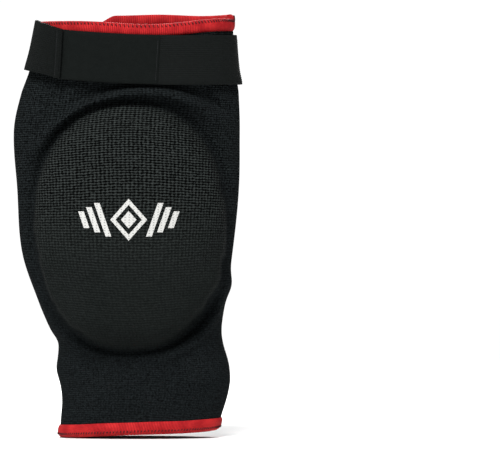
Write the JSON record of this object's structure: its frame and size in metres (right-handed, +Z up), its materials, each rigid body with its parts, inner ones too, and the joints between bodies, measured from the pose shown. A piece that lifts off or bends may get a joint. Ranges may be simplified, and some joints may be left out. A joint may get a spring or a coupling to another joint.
{
  "type": "elbow pad",
  "caption": "Knit elbow sleeve for striking sports: foam dome at the front, bound oval hole at the elbow pit, bound ends and an elastic hook-and-loop strap",
  "frame": {"origin": "centre of the whole pad's box, at the floor that its lower hem stands on", "axes": "+Z up along the arm from the forearm end to the strap, -Y the way the dome faces, +X to the right seen from the dome's side"},
  "size_m": [0.1402, 0.0676, 0.2526],
  "materials": {
    "knit": "matt waffle knit",
    "binding": "soft stitched elastic binding",
    "elastic": "fine-ribbed woven elastic",
    "hook_and_loop": "brushed hook and loop tape",
    "foam": "closed-cell foam",
    "lining": "brushed lining cloth",
    "thread": "polyester thread",
    "binding_thread": "dark red sewing thread",
    "print": "screen-printed ink"
  },
  "bodies": {
    "forearm_half": {"sleeve_lower": "knit", "hem_binding": "binding", "hem_seam": "binding_thread", "foam_pad": "foam", "pad_lining": "lining", "lining_seam": "thread", "hole_binding": "binding", "hole_seam": "binding_thread"},
    "upper_arm_half": {"sleeve_upper": "knit", "top_binding": "binding", "top_seam": "binding_thread", "strap_band": "elastic", "strap_anchor_seam": "thread", "loop_patch": "hook_and_loop", "loop_end_seam": "thread", "mark_lozenge": "print", "mark_core": "print", "mark_bar_left_1": "print", "mark_bar_left_2": "print", "mark_bar_left_3": "print", "mark_bar_right_1": "print", "mark_bar_right_2": "print", "mark_bar_right_3": "print"},
    "strap_end": {"strap_tail": "elastic", "hook_patch": "hook_and_loop", "tail_end_seam": "thread"}
  },
  "joints": [
    {"name": "elbow_flex", "type": "hinge", "parent": "forearm_half", "child": "upper_arm_half", "pos_m": [0, 0.0323, 0.116], "axis": [-1, 0, 0], "range_deg": [0, 60], "stiffness_Nm_per_rad": 0.02, "deforming": ["foam_pad", "pad_lining", "lining_seam", "hole_binding", "hole_seam"]},
    {"name": "strap_peel", "type": "hinge", "parent": "upper_arm_half", "child": "strap_end", "pos_m": [-0.0622, 0.00997, 0.2377], "axis": [-0.2331, 0, -0.9725], "range_deg": [0, 130]}
  ]
}
